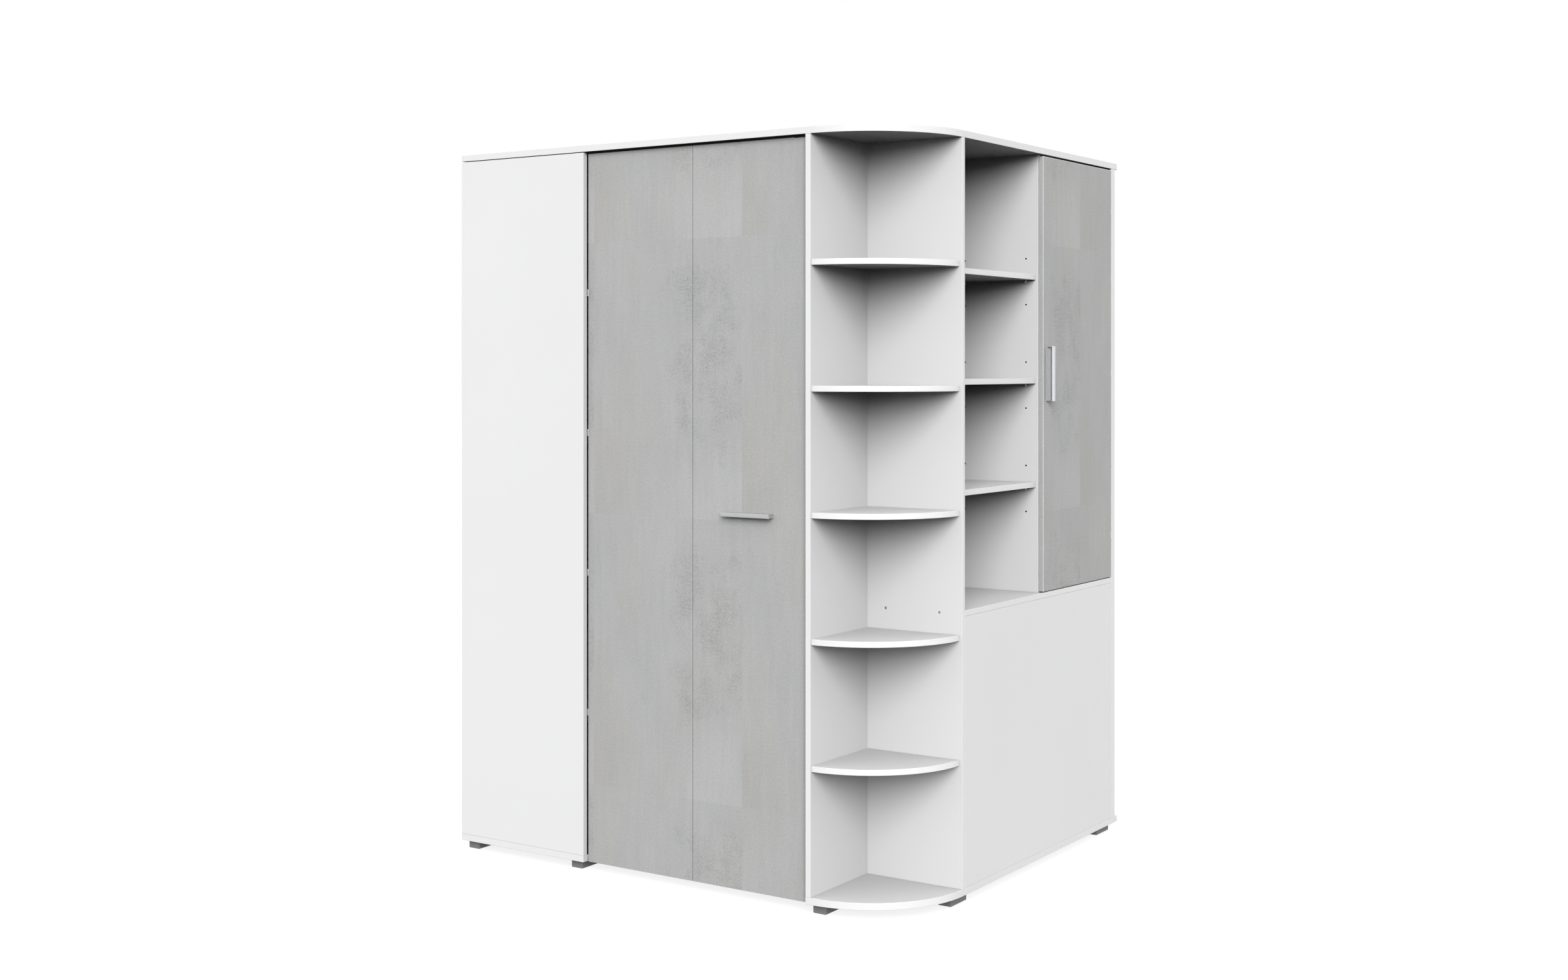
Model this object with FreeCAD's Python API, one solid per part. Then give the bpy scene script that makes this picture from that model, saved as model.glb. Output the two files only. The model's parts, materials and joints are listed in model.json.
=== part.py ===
import FreeCAD, Part
import math
import os
from collections import namedtuple

# Corner wardrobe for a room corner at its left rear. Millimetres, +Z up.
# The bifold front looks along -Y and the shelf wing's outer face along +X.
# The origin is on the floor, under the middle of the closed wardrobe's box.

Vector = FreeCAD.Vector
UP = Vector(0, 0, 1)

# Board thicknesses
board = 15.0
plate_board = 18.0
side_board = 22.0
back_board = 3.0

# Plan: the front reads left wing, opening, right wing from left to right
left_wing_depth = 452.0
opening_width = 726.0
right_wing_depth = 298.0
# The right face reads niche, divider, open bay, cabinet door, side panel
niche_width = 279.0
open_bay_width = 457.0
cabinet_door_width = 457.0
rear_overhang = 15.0

# Heights; each share is of the clear height that its shelves divide
total_height = 1990.0
foot_height = 25.0
middle_shelf_share = 0.37
front_panel_gap = 2.0

# Corner niche
corner_shelf_radius = 275.0
corner_shelf_count = 5
corner_pitch_share = 0.1659

# Loose shelves and their supports
open_shelf_count = 3
open_first_share = 0.24
open_pitch_share = 0.237
open_shelf_setback = 23.0
left_shelf_count = 4
shelf_play = 0.5
shelf_rear_gap = 0.5
pin_front_inset = 30.0
pin_rear_inset = 38.0
pin_radius = 2.5
pin_stem = 6.5
pin_hole_spare = 0.5
spare_hole_pitch = 64.0
lug_width = 7.0
lug_height = 8.5
lug_length = 8.0

# Left wing inside
stile_depth = 100.0
stile_shelf_gap = 2.0
shelf_bay_width = 605.0
hat_shelf_clear = 300.0
rail_drop = 70.0
rail_radius = 12.5
rail_wall = 1.2
socket_wall = 4.0
socket_depth = 14.0
socket_flange = 3.0
socket_flange_rim = 9.0
rail_fit = 0.05
rear_back_lap = 40.0

# Doors
leaf_board = 15.0
door_top_gap = 5.0
opening_end_gap = 3.0
fold_gap = 2.0
cabinet_door_foot_gap = 3.0
cabinet_door_seat_gap = 0.5

# Edge hinges of the bifold and of the cabinet door
hinge_gap = 5.0
swing_clearance = 0.3
barrel_clearance = 0.5
barrel_height = 18.0
knuckle_gap = 0.3
hinge_pin_share = 0.5
pin_running_fit = 0.05
hinge_plate_height = 60.0
hinge_plate_thickness = 1.5
hinge_plate_margin = 1.4
hinge_web = 1.6
leaf_hinge_count = 4
leaf_hinge_first_share = 0.211
leaf_hinge_pitch_share = 0.1977
cabinet_hinge_count = 3
cabinet_hinge_pitch_share = 0.3976

# Fold hinges on the back faces of the two leaves
fold_plate_thickness = 1.5
fold_plate_width = 22.0
fold_axis_rise = 1.1
fold_barrel_clearance = 0.4
fold_plate_setback = 0.5

# Overhead guide of the right leaf
guide_inset = 4.0
guide_pin_cover = 0.4
guide_fit = 0.3
guide_plate_length = 40.0
track_wall = 1.5
track_leaf_gap = 0.4
guide_pin_top_gap = 0.3

# Handles: one channel profile, used lying and standing
handle_length = 152.0
handle_projection = 22.0
handle_width = 12.0
handle_wall = 2.5
handle_round = 3.0
leaf_handle_height = 999.0
cabinet_handle_height = 1364.0
cabinet_handle_inset = 19.0

# Feet and fixing screws
foot_width = 39.0
foot_length = 84.0
foot_inset = 20.0
foot_chamfer = 3.0
divider_foot_front = 256.0
rear_foot_setback = 16.0
screw_head_radius = 3.5
screw_head_height = 3.0
screw_shank_radius = 2.2
screw_length = 45.0
screw_front_inset = 66.0
screw_rear_inset = 56.0

# Small rounds that repeat many times are prisms with this many sides
prism_side_count = 10
flat_share = math.cos(math.pi / prism_side_count)

cut_overrun = 1.0

# Plan lines; the handles stand proud of the right and front faces
overall_width = left_wing_depth + opening_width + right_wing_depth
overall_depth = (niche_width + board + open_bay_width + cabinet_door_width
                 + hinge_gap + side_board + rear_overhang)
right_proud = handle_projection
front_proud = max(handle_projection - board, 0)
x_right = (overall_width - right_proud) / 2
x_wing = x_right - right_wing_depth
x_post = x_wing + board
x_stile = x_wing - opening_width
x_left = x_stile - left_wing_depth
x_back = x_left + back_board
y_front = (front_proud - overall_depth) / 2
y_leaf = y_front + board
y_leaf_back = y_leaf + leaf_board
y_divider = y_front + niche_width
y_bay = y_divider + board
y_partition = y_bay + open_bay_width
y_cabinet = y_partition + board
y_door_end = y_partition + cabinet_door_width
y_side = y_door_end + hinge_gap
y_body_end = y_side + side_board
y_rear = y_body_end + rear_overhang
y_left_partition = y_leaf + shelf_bay_width
y_left_bay = y_left_partition + board
y_left_end = y_body_end - board

# Levels
z_base = foot_height
z_floor = z_base + plate_board
z_ceiling = total_height - plate_board
clear_height = z_ceiling - z_floor
z_middle_top = z_floor + middle_shelf_share * clear_height
z_middle = z_middle_top - board
upper_clear = z_ceiling - z_middle_top
z_door_top = z_ceiling - door_top_gap
z_cabinet_door = z_middle_top + cabinet_door_foot_gap
leaf_height = z_door_top - z_base
cabinet_door_height = z_door_top - z_cabinet_door

# Hinge geometry: each barrel sits in the middle of its gap, as far behind
# the door's face as lets the edge swing past the fixed side
axis_inset = hinge_gap / 2 - swing_clearance
barrel_radius = hinge_gap / 2 - barrel_clearance
hinge_pin_radius = barrel_radius * hinge_pin_share
knuckle_height = (barrel_height - 2 * knuckle_gap) / 3
x_hinge = x_stile + hinge_gap / 2
y_hinge = y_leaf + axis_inset
x_cabinet_hinge = x_right - axis_inset
y_cabinet_hinge = y_door_end + hinge_gap / 2

# The fold lies half way between the hinge and the guide pin, so that the
# pin runs straight along its track while the two leaves fold
x_leaf_end = x_wing - opening_end_gap
x_guide = x_leaf_end - guide_inset
x_fold = (x_hinge + x_guide) / 2
fold_axis_depth = fold_plate_thickness + fold_axis_rise
fold_barrel_radius = fold_axis_depth - fold_barrel_clearance
fold_pin_radius = fold_barrel_radius * hinge_pin_share
y_fold = y_leaf_back + fold_axis_depth
guide_pin_radius = axis_inset - guide_pin_cover

outer_spans = [(-barrel_height / 2, knuckle_height - barrel_height / 2),
               (barrel_height / 2 - knuckle_height, barrel_height / 2)]
middle_spans = [(-knuckle_height / 2, knuckle_height / 2)]


def block(x0, x1, y0, y1, z0, z1):
    """A box between two corners, in any order along each axis."""
    low = Vector(min(x0, x1), min(y0, y1), min(z0, z1))
    return Part.makeBox(abs(x1 - x0), abs(y1 - y0), abs(z1 - z0), low)


def rounded_plate(x0, x1, y0, y1, z0, z1, radius):
    """A plate whose front right corner is a quarter round."""
    centre = Vector(x1 - radius, y0 + radius, z0)
    bulge = Vector(math.cos(math.pi / 4), -math.sin(math.pi / 4), 0)
    start, end = Vector(x1 - radius, y0, z0), Vector(x1, y0 + radius, z0)
    corners = [end, Vector(x1, y1, z0), Vector(x0, y1, z0), Vector(x0, y0, z0), start]
    edges = [Part.makeLine(p, q) for p, q in zip(corners, corners[1:])]
    edges.append(Part.Arc(start, centre + bulge * radius, end).toShape())
    return Part.Face(Part.Wire(edges)).extrude(UP * (z1 - z0))


def quarter_disc(x, y, z, radius, thickness):
    """A quarter disc that fills the corner at (x, y) towards +X and -Y."""
    disc = Part.makeCylinder(radius, thickness, Vector(x, y, z), UP, 90)
    disc.rotate(Vector(x, y, z), UP, -90)
    return disc


def prism(radius, length, start, aim):
    """A light round bar, aimed square to the X axis; the radius is at its corners."""
    step = FreeCAD.Rotation(aim, 360 / prism_side_count)
    spokes = [Vector(radius, 0, 0)]
    while len(spokes) < prism_side_count:
        spokes.append(step.multVec(spokes[-1]))
    ring = [start + spoke for spoke in spokes]
    return Part.Face(Part.makePolygon(ring + ring[:1])).extrude(aim * length)


def placed(shape, x, y, z, turn=0):
    """A copy turned about Z and moved."""
    copy = shape.copy()
    copy.rotate(Vector(0, 0, 0), UP, turn)
    copy.translate(Vector(x, y, z))
    return copy


def without(solid, tools):
    """The solid with every tool cut out of it."""
    return solid.cut(Part.makeCompound(tools)) if tools else solid


def save(node, *solids):
    """One file for each node; a node of several solids keeps them apart."""
    shape = solids[0] if len(solids) == 1 else Part.makeCompound(list(solids))
    shape.exportStep(os.path.join("parts", node + ".step"))


def hinge_half(plate, tab, spans, radius, bore):
    """A plate with knuckles about the Z axis, each carried by a tab and bored for the pin."""
    half = plate
    for low, high in spans:
        half = half.fuse(block(*tab, low, high))
        half = half.fuse(prism(radius, high - low, Vector(0, 0, low), UP))
    tools = [prism(bore / flat_share, high - low + 2 * cut_overrun,
                   Vector(0, 0, low - cut_overrun), UP) for low, high in spans]
    return without(half, tools).removeSplitter()


def edge_plate(side):
    """The flat of an edge hinge, let flush into a board at one side of the gap."""
    face = side * hinge_gap / 2
    return block(face, face + side * hinge_plate_thickness,
                 hinge_plate_margin - axis_inset, leaf_board - hinge_plate_margin - axis_inset,
                 -hinge_plate_height / 2, hinge_plate_height / 2)


def edge_half(side, spans, bore):
    """Half of an edge hinge, with its plate on one side of the gap."""
    tab = (0, side * hinge_gap / 2, -hinge_web / 2, hinge_web / 2)
    return hinge_half(edge_plate(side), tab, spans, barrel_radius, bore)


def fold_half(side, spans, bore):
    """Half of a fold hinge, with its plate flat on a leaf's back."""
    start = side * (fold_barrel_radius + fold_plate_setback)
    low = -fold_axis_depth
    plate = block(start, start + side * fold_plate_width, low, low + fold_plate_thickness,
                  -hinge_plate_height / 2, hinge_plate_height / 2)
    tab = (0, start, low, low + fold_plate_thickness)
    return hinge_half(plate, tab, spans, fold_barrel_radius, bore)


def hinge_pin(radius):
    """The pin of one hinge, as long as its barrel."""
    return Part.makeCylinder(radius, barrel_height, Vector(0, 0, -barrel_height / 2))


def handle(origin, out, across, along):
    """A channel grip: foot on the door, web across, rounded lip in front."""
    def at(p, w):
        return origin + out * p + across * w

    lip = handle_projection - handle_wall
    web = handle_width - handle_wall
    centre = at(handle_projection - handle_round, handle_width - handle_round)
    bulge = (out + across) * (handle_round * math.sin(math.pi / 4))
    start = at(handle_projection, handle_width - handle_round)
    end = at(handle_projection - handle_round, handle_width)
    corners = [end, at(0, handle_width), at(0, 0), at(handle_wall, 0), at(handle_wall, web),
               at(lip, web), at(lip, 0), at(handle_projection, 0), start]
    edges = [Part.makeLine(p, q) for p, q in zip(corners, corners[1:])]
    edges.append(Part.Arc(start, centre + bulge, end).toShape())
    return Part.Face(Part.Wire(edges)).extrude(along * handle_length)


def foot(x, y):
    """A foot block under a base plate, from its left front corner."""
    solid = block(x, x + foot_width, y, y + foot_length, 0, z_base)
    upright = [e for e in solid.Edges if abs(e.tangentAt(e.FirstParameter).z) > abs(
        e.tangentAt(e.FirstParameter).x) + abs(e.tangentAt(e.FirstParameter).y)]
    return solid.makeChamfer(foot_chamfer, upright)


# A shelf bay lies between two uprights, near and far along Y. Its shelves
# run from their front edge to their rear edge along X.
Bay = namedtuple("Bay", "near far near_board far_board front rear")
drilled = {}
supports = {"right": [], "left": []}


def drill(bay, z):
    """A row of four blind holes at one level, two in each upright."""
    inward = 1 if bay.rear > bay.front else -1
    columns = [bay.front + inward * pin_front_inset, bay.rear - inward * pin_rear_inset]
    places = []
    for x in columns:
        for y, side, name in ((bay.near, -1, bay.near_board), (bay.far, 1, bay.far_board)):
            start = Vector(x, y - side * cut_overrun, z)
            depth = pin_stem + pin_hole_spare + cut_overrun
            tool = prism(pin_radius, depth, start, Vector(0, side, 0))
            drilled.setdefault(name, []).append(tool)
            places.append((x, y, side))
    return places


def loose_shelf(bay, under, wing):
    """A shelf laid on four supports: a stem in the upright, a lug under the shelf."""
    z = under - lug_height / 2
    for x, y, side in drill(bay, z):
        stem = prism(pin_radius, pin_stem, Vector(x, y, z), Vector(0, side, 0))
        lug = block(x - lug_width / 2, x + lug_width / 2, y, y - side * lug_length,
                    under - lug_height, under)
        supports[wing].append(stem.fuse(lug))
    return block(bay.front, bay.rear, bay.near + shelf_play, bay.far - shelf_play,
                 under, under + board)


os.makedirs("parts", exist_ok=True)

# Plates, with the niche's quarter round at the free corner
corner_round = right_wing_depth - board
top_panel = rounded_plate(x_left, x_right, y_front, y_rear, z_ceiling, total_height, corner_round)
right_base = rounded_plate(x_wing, x_right, y_front, y_rear, z_base, z_floor, corner_round)
left_base = block(x_left, x_stile, y_front, y_rear, z_base, z_floor)

# Uprights of the right wing
x_shelf_rear = x_post + shelf_rear_gap
niche_post = block(x_wing, x_post, y_front, y_divider, z_floor, z_ceiling)
divider = block(x_wing, x_right, y_divider, y_bay, z_floor, z_ceiling)
x_partition = x_right - board - cabinet_door_seat_gap
cabinet_partition = block(x_post, x_partition, y_partition, y_cabinet, z_middle_top, z_ceiling)
rear_side = block(x_wing, x_right, y_side, y_body_end, z_floor, z_ceiling)
middle_shelf = block(x_wing, x_right, y_bay, y_side, z_middle, z_middle_top)
lower_panel = block(x_right - board, x_right, y_bay, y_side, z_floor, z_middle)
lower_partition = block(x_wing, x_right - board, y_partition, y_cabinet, z_floor, z_middle)
cabinet_back = block(x_post - back_board, x_post, y_bay, y_side, z_middle_top, z_ceiling)

# Uprights of the left wing, and the hardboard backs towards the room walls
front_panel = block(x_left, x_stile, y_front, y_leaf, z_floor, z_ceiling - front_panel_gap)
hinge_stile = block(x_stile - board, x_stile, y_leaf, y_leaf + stile_depth, z_floor, z_ceiling)
left_partition = block(x_back, x_stile, y_left_partition, y_left_bay, z_floor, z_ceiling)
left_end_panel = block(x_back, x_stile, y_left_end, y_body_end, z_floor, z_ceiling)
left_back = block(x_left, x_back, y_leaf, y_body_end, z_floor, z_ceiling)
rear_back = block(x_stile - rear_back_lap, x_wing + rear_back_lap,
                  y_body_end, y_body_end + back_board, z_floor, z_ceiling)

# Loose shelves, bay by bay
open_bay = Bay(y_bay, y_partition, "divider", "cabinet_partition",
               x_right - open_shelf_setback, x_shelf_rear)
cabinet_bay = Bay(y_cabinet, y_side, "cabinet_partition", "rear_side",
                  x_right - open_shelf_setback, x_shelf_rear)
lower_bays = [Bay(y_bay, y_partition, "divider", "lower_partition",
                  x_wing + shelf_rear_gap, x_right - board - shelf_rear_gap),
              Bay(y_cabinet, y_side, "lower_partition", "rear_side",
                  x_wing + shelf_rear_gap, x_right - board - shelf_rear_gap)]
left_bay = Bay(y_leaf, y_left_partition, "front_panel", "left_partition",
               x_stile - board - stile_shelf_gap, x_back + shelf_rear_gap)
hanging_bay = Bay(y_left_bay, y_left_end, "left_partition", "left_end_panel",
                  x_stile - stile_shelf_gap, x_back + shelf_rear_gap)

for index in range(open_shelf_count):
    level = z_middle_top + (open_first_share + index * open_pitch_share) * upper_clear
    save("open_shelf_%d" % (index + 1), loose_shelf(open_bay, level, "right"))
    save("cabinet_shelf_%d" % (index + 1), loose_shelf(cabinet_bay, level, "right"))
    for step in (-spare_hole_pitch, spare_hole_pitch):
        drill(open_bay, level - lug_height / 2 + step)
for index, bay in enumerate(lower_bays):
    level = (z_floor + z_middle - board) / 2
    save("lower_shelf_%d" % (index + 1), loose_shelf(bay, level, "right"))
left_clear = (z_ceiling - z_floor - left_shelf_count * board) / (left_shelf_count + 1)
for index in range(left_shelf_count):
    level = z_floor + left_clear + index * (left_clear + board)
    save("left_shelf_%d" % (index + 1), loose_shelf(left_bay, level, "left"))
z_hat_shelf = z_ceiling - hat_shelf_clear - board
save("hat_shelf", loose_shelf(hanging_bay, z_hat_shelf, "left"))
save("right_shelf_supports", *supports["right"])
save("left_shelf_supports", *supports["left"])

# Quarter-round shelves of the niche, spread about mid height
z_mid = (z_floor + z_ceiling - board) / 2
for index in range(corner_shelf_count):
    level = z_mid + (index - (corner_shelf_count - 1) / 2) * corner_pitch_share * clear_height
    save("corner_shelf_%d" % (index + 1),
         quarter_disc(x_post, y_divider, level, corner_shelf_radius, board))

# Clothes rail across the hanging bay, in two flanged sockets
x_rail = (x_stile + x_back) / 2
z_rail = z_hat_shelf - rail_drop
rail_ends = ((y_left_bay, 1), (y_left_end, -1))
rail_start = Vector(x_rail, y_left_bay + socket_flange, z_rail)
rail_length = y_left_end - y_left_bay - 2 * socket_flange
along = Vector(0, 1, 0)
clothes_rail = Part.makeCylinder(rail_radius, rail_length, rail_start, along).cut(
    Part.makeCylinder(rail_radius - rail_wall, rail_length, rail_start, along))
sockets = []
for y, side in rail_ends:
    centre, aim = Vector(x_rail, y, z_rail), Vector(0, side, 0)
    cup_radius = rail_radius + rail_fit + socket_wall
    socket = Part.makeCylinder(cup_radius, socket_depth, centre, aim)
    socket = socket.fuse(Part.makeCylinder(cup_radius + socket_flange_rim, socket_flange, centre, aim))
    mouth = Part.makeCylinder(rail_radius + rail_fit, socket_depth, centre + aim * socket_flange, aim)
    sockets.append(socket.cut(mouth).removeSplitter())
save("clothes_rail", clothes_rail)
save("rail_sockets", *sockets)

# Bifold door: two leaves, their hinges and the overhead guide
leaf_rows = [z_base + (leaf_hinge_first_share + index * leaf_hinge_pitch_share) * leaf_height
             for index in range(leaf_hinge_count)]
stile_cuts = [placed(edge_plate(-1), x_hinge, y_hinge, z) for z in leaf_rows]
leaf_cuts = [placed(edge_plate(1), x_hinge, y_hinge, z) for z in leaf_rows]
left_leaf = block(x_stile + hinge_gap, x_fold - fold_gap / 2, y_leaf, y_leaf_back, z_base, z_door_top)
right_leaf = block(x_fold + fold_gap / 2, x_leaf_end, y_leaf, y_leaf_back, z_base, z_door_top)
guide_plate = block(x_leaf_end - guide_plate_length, x_leaf_end,
                    y_leaf, y_leaf_back - hinge_plate_margin,
                    z_door_top - hinge_plate_thickness, z_door_top)
pin_base = Vector(x_guide, y_hinge, z_door_top)
pin_reach = door_top_gap - guide_pin_top_gap
guide_pin = Part.makeCylinder(guide_pin_radius, pin_reach, pin_base)
track_half = guide_pin_radius + guide_fit
z_track = z_door_top + track_leaf_gap
track_strips = [block(x_stile, x_wing, y_hinge + side * track_half,
                      y_hinge + side * (track_half + track_wall), z_track, z_ceiling)
                for side in (-1, 1)]
save("left_leaf", without(left_leaf, leaf_cuts))
save("right_leaf", without(right_leaf, [guide_plate]))
save("guide_plate", guide_plate)
save("guide_pin", guide_pin)
save("guide_track", *track_strips)

fixed_half = edge_half(-1, outer_spans, hinge_pin_radius)
moving_half = edge_half(1, middle_spans, hinge_pin_radius + pin_running_fit)
save("stile_hinge_plates", *[placed(fixed_half, x_hinge, y_hinge, z) for z in leaf_rows])
save("leaf_hinge_plates", *[placed(moving_half, x_hinge, y_hinge, z) for z in leaf_rows])
save("leaf_hinge_pins", *[placed(hinge_pin(hinge_pin_radius), x_hinge, y_hinge, z)
                          for z in leaf_rows])
fold_left = fold_half(-1, outer_spans, fold_pin_radius)
fold_right = fold_half(1, middle_spans, fold_pin_radius + pin_running_fit)
save("fold_plates_left", *[placed(fold_left, x_fold, y_fold, z) for z in leaf_rows])
save("fold_plates_right", *[placed(fold_right, x_fold, y_fold, z) for z in leaf_rows])
save("fold_pins", *[placed(hinge_pin(fold_pin_radius), x_fold, y_fold, z) for z in leaf_rows])

# Cabinet door, on the same hinges turned to face +X
z_door_mid = (z_cabinet_door + z_door_top) / 2
door_rows = [z_door_mid + (index - (cabinet_hinge_count - 1) / 2)
             * cabinet_hinge_pitch_share * cabinet_door_height
             for index in range(cabinet_hinge_count)]
side_cuts = [placed(edge_plate(1), x_cabinet_hinge, y_cabinet_hinge, z, 90) for z in door_rows]
door_cuts = [placed(edge_plate(-1), x_cabinet_hinge, y_cabinet_hinge, z, 90) for z in door_rows]
cabinet_door = block(x_right - leaf_board, x_right, y_partition, y_door_end,
                     z_cabinet_door, z_door_top)
side_half = edge_half(1, outer_spans, hinge_pin_radius)
door_half = edge_half(-1, middle_spans, hinge_pin_radius + pin_running_fit)
save("cabinet_door", without(cabinet_door, door_cuts))
save("side_hinge_plates", *[placed(side_half, x_cabinet_hinge, y_cabinet_hinge, z, 90)
                            for z in door_rows])
save("door_hinge_plates", *[placed(door_half, x_cabinet_hinge, y_cabinet_hinge, z, 90)
                            for z in door_rows])
save("door_hinge_pins", *[placed(hinge_pin(hinge_pin_radius), x_cabinet_hinge, y_cabinet_hinge, z)
                          for z in door_rows])

# Handles: lying on the right leaf and open below, standing on the cabinet door
x_handle = (x_fold + fold_gap / 2 + x_leaf_end + handle_length) / 2
save("leaf_handle", handle(Vector(x_handle, y_leaf, leaf_handle_height - handle_width / 2),
                           Vector(0, -1, 0), UP, Vector(-1, 0, 0)))
save("cabinet_handle", handle(Vector(x_right, y_partition + cabinet_handle_inset,
                                     cabinet_handle_height - handle_length / 2),
                              Vector(1, 0, 0), Vector(0, 1, 0), UP))

# Fixing screws of the middle shelf, with their heads let into the divider
screws, screw_cuts = [], []
for x in (x_right - screw_front_inset, x_post + screw_rear_inset):
    head = Vector(x, y_divider, z_middle + board / 2)
    cap = prism(screw_head_radius, screw_head_height, head, along)
    shank = prism(screw_shank_radius, screw_length, head, along)
    screws.append(cap.fuse(shank).removeSplitter())
    screw_cuts.append(screws[-1])
save("middle_shelf_screws", *screws)

# Boards with their drillings and hinge beds
save("top_panel", top_panel)
save("right_base", right_base)
save("left_base", left_base)
save("niche_post", niche_post)
save("divider", without(divider, drilled["divider"] + screw_cuts))
save("cabinet_partition", without(cabinet_partition, drilled["cabinet_partition"]))
save("rear_side", without(rear_side, drilled["rear_side"] + side_cuts))
save("middle_shelf", without(middle_shelf, screw_cuts))
save("lower_panel", lower_panel)
save("lower_partition", without(lower_partition, drilled["lower_partition"]))
save("cabinet_back", cabinet_back)
save("front_panel", without(front_panel, drilled["front_panel"]))
save("hinge_stile", without(hinge_stile, stile_cuts))
save("left_partition", without(left_partition, drilled["left_partition"]))
save("left_end_panel", without(left_end_panel, drilled["left_end_panel"]))
save("left_back", left_back)
save("rear_back", rear_back)

# Feet, set back under the plates
y_near_feet = y_front + foot_inset
y_far_feet = y_rear - rear_foot_setback - foot_length
x_inner_foot = x_wing + foot_inset / 2
x_outer_foot = x_right - foot_inset - foot_width
save("right_feet", foot(x_inner_foot, y_near_feet), foot(x_outer_foot, y_front + divider_foot_front),
     foot(x_inner_foot, y_far_feet), foot(x_outer_foot, y_far_feet))
save("left_feet", *[foot(x, y) for x in (x_left + foot_inset / 2, x_stile - foot_inset - foot_width)
                    for y in (y_near_feet, y_far_feet)])
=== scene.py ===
# %% [markdown]
# # A corner wardrobe, dressed for its picture
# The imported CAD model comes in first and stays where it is: it is the frame
# that every visible piece is made around. The script then rebuilds the boards
# with softened edges, gives each material its surface, and sets up the floor,
# the light and the camera. All lengths are in metres, in the CAD's own frame:
# +Z is up, the folding door looks along -Y and the shelf side along +X.

# %% Load the frame
import json
import math

import bmesh
import bpy
from mathutils import Matrix, Vector


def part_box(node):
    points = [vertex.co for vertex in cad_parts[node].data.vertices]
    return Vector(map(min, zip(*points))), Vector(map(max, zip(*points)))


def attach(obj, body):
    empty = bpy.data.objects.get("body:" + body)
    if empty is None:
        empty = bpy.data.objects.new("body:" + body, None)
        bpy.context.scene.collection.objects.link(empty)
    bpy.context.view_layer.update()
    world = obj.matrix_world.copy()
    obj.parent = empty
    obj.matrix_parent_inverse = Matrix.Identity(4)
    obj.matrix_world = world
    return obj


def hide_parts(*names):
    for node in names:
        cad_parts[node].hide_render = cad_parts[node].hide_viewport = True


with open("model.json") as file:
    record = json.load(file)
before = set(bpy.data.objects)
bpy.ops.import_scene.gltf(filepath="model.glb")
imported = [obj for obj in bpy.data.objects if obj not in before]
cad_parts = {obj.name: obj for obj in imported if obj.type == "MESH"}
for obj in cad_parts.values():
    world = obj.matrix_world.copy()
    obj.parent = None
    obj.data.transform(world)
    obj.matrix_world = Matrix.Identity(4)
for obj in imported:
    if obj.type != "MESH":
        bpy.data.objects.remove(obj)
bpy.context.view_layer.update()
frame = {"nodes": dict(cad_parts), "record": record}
record = frame["record"]
body_of_node = {node: body for body, nodes in record["behaviour"]["bodies"].items() for node in nodes}
MM = 0.001

# %% [markdown]
# ## Small tools for every piece
# A board, a pin or a handle is a bmesh that starts from a cube, a cone or a few
# points and is shaped by operators. Four helpers cover what repeats: one makes a
# block, one a round bar, one joins a finished bmesh to another, and one cuts a
# bmesh out of another. A softened edge, the arris, is a bevel of a fraction of a
# millimetre. It is what makes a board catch a thin line of light, as real edges
# do. A Bevel modifier could make it too, but it would also soften the cuts,
# which come later.

# %% Blocks and bars
BEVEL = {"affect": "EDGES", "profile": 0.5, "material": -1, "clamp_overlap": True}
ARRIS_SEGMENTS, ROUND_SIDES = 2, 32


def block(low, high, arris=0.0, segments=ARRIS_SEGMENTS):
    """A box between two corners, with all its edges softened."""
    low, high = Vector(low), Vector(high)
    bm = bmesh.new()
    bmesh.ops.create_cube(bm, size=1.0)
    bmesh.ops.scale(bm, vec=high - low, verts=bm.verts)
    bmesh.ops.translate(bm, vec=(low + high) / 2, verts=bm.verts)
    if arris:
        bmesh.ops.bevel(bm, geom=bm.edges[:], offset=arris, segments=segments, **BEVEL)
    return bm


def bar(radius, start, aim, length, arris=0.0, sides=ROUND_SIDES):
    """A round bar from start along aim, with softened rims."""
    bm = bmesh.new()
    bmesh.ops.create_cone(bm, cap_ends=True, segments=sides, radius1=radius, radius2=radius, depth=length)
    bmesh.ops.translate(bm, vec=(0, 0, length / 2), verts=bm.verts)
    if arris:
        rims = [e for e in bm.edges if abs(e.verts[0].co.z - e.verts[1].co.z) < length / 2]
        bmesh.ops.bevel(bm, geom=rims, offset=arris, segments=ARRIS_SEGMENTS, **BEVEL)
    turn = Vector((0, 0, 1)).rotation_difference(Vector(aim)).to_matrix().to_4x4()
    bmesh.ops.transform(bm, matrix=Matrix.Translation(start) @ turn, verts=bm.verts)
    return bm


print("arris bevel:", BEVEL)


# %% Joining and cutting
def join(bm, extra, matrix=None):
    """Add a second bmesh, moved by matrix, to the first."""
    if matrix is not None:
        bmesh.ops.transform(extra, matrix=matrix, verts=extra.verts)
    carrier = bpy.data.meshes.new("carrier")
    extra.to_mesh(carrier)
    extra.free()
    bm.from_mesh(carrier)
    bpy.data.meshes.remove(carrier)
    return bm


def carve(bm, cutter):
    """Cut one bmesh out of another with the exact Boolean."""
    pair = []
    for solid in (bm, cutter):
        mesh = bpy.data.meshes.new("carve")
        solid.to_mesh(mesh)
        solid.free()
        pair.append(bpy.data.objects.new("carve", mesh))
        bpy.context.scene.collection.objects.link(pair[-1])
    cut = pair[0].modifiers.new("cut", "BOOLEAN")
    cut.object, cut.operation, cut.solver = pair[1], "DIFFERENCE", "EXACT"
    depsgraph = bpy.context.evaluated_depsgraph_get()
    result = bpy.data.meshes.new_from_object(pair[0].evaluated_get(depsgraph))
    carved = bmesh.new()
    carved.from_mesh(result)
    for mesh in (result, *[o.data for o in pair]):
        bpy.data.meshes.remove(mesh)
    return carved


print("helpers: block, bar, join, carve")

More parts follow.
